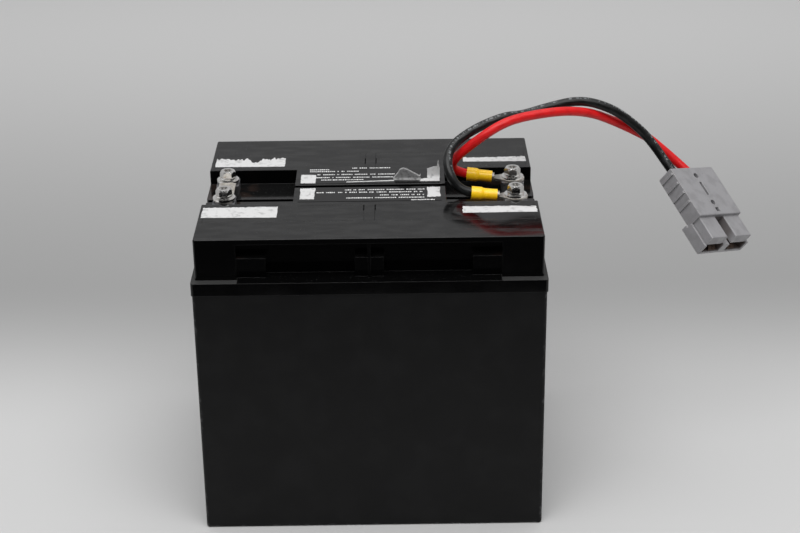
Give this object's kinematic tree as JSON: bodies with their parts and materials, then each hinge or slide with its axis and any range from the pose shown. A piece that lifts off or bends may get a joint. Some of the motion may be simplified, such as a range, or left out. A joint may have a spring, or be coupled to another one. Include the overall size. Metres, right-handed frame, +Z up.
{
  "type": "ups battery",
  "caption": "Twin-block sealed lead-acid battery pack, linked in series, with hand-grip lids, bolted terminals, red and black leads and a grey plug-in connector.",
  "frame": {"origin": "middle of the footprint of the two blocks, on the floor", "axes": "+X along the blocks toward the end where the leads leave, +Y from the front block to the rear block, +Z up"},
  "size_m": [0.299, 0.1544, 0.2042],
  "materials": {
    "case_plastic": "fine moulded texture",
    "lid_plastic": "smooth moulded gloss",
    "valve_rubber": "matte",
    "plate_lead": "dull cast lead",
    "glass_mat": "felted glass fibre",
    "label_film": "printed film",
    "label_paper": "torn paper",
    "foam_tape": "closed-cell foam",
    "bolt_steel": "zinc plated",
    "tinned_copper": "tin plated",
    "yellow_vinyl": "smooth vinyl",
    "red_jacket": "smooth insulation",
    "black_jacket": "smooth insulation",
    "connector_grey": "fine moulded texture"
  },
  "bodies": {
    "root": {"black_cable": "black_jacket", "connector_housing": "connector_grey", "connector_negative_contact": "tinned_copper", "connector_positive_contact": "tinned_copper", "connector_springs": "bolt_steel", "flat_washers": "bolt_steel", "front_container": "case_plastic", "front_intercell_welds": "plate_lead", "front_label_remnants": "label_paper", "front_lid": "lid_plastic", "front_negative_plates": "plate_lead", "front_negative_terminal": "plate_lead", "front_positive_plates": "plate_lead", "front_positive_terminal": "plate_lead", "front_separator_mats": "glass_mat", "front_terminal_seals": "valve_rubber", "front_top_label": "label_film", "front_valve_caps": "valve_rubber", "front_vent_covers": "lid_plastic", "joining_tape": "foam_tape", "negative_lug_sleeve": "yellow_vinyl", "negative_ring_lug": "tinned_copper", "positive_lug_sleeve": "yellow_vinyl", "positive_ring_lug": "tinned_copper", "rear_container": "case_plastic", "rear_intercell_welds": "plate_lead", "rear_label_remnants": "label_paper", "rear_lid": "lid_plastic", "rear_negative_plates": "plate_lead", "rear_negative_terminal": "plate_lead", "rear_positive_plates": "plate_lead", "rear_positive_terminal": "plate_lead", "rear_separator_mats": "glass_mat", "rear_terminal_seals": "valve_rubber", "rear_top_label": "label_film", "rear_valve_caps": "valve_rubber", "rear_vent_covers": "lid_plastic", "red_cable": "red_jacket", "series_link": "tinned_copper", "spring_washers": "bolt_steel", "terminal_bolts": "bolt_steel"}
  },
  "joints": []
}
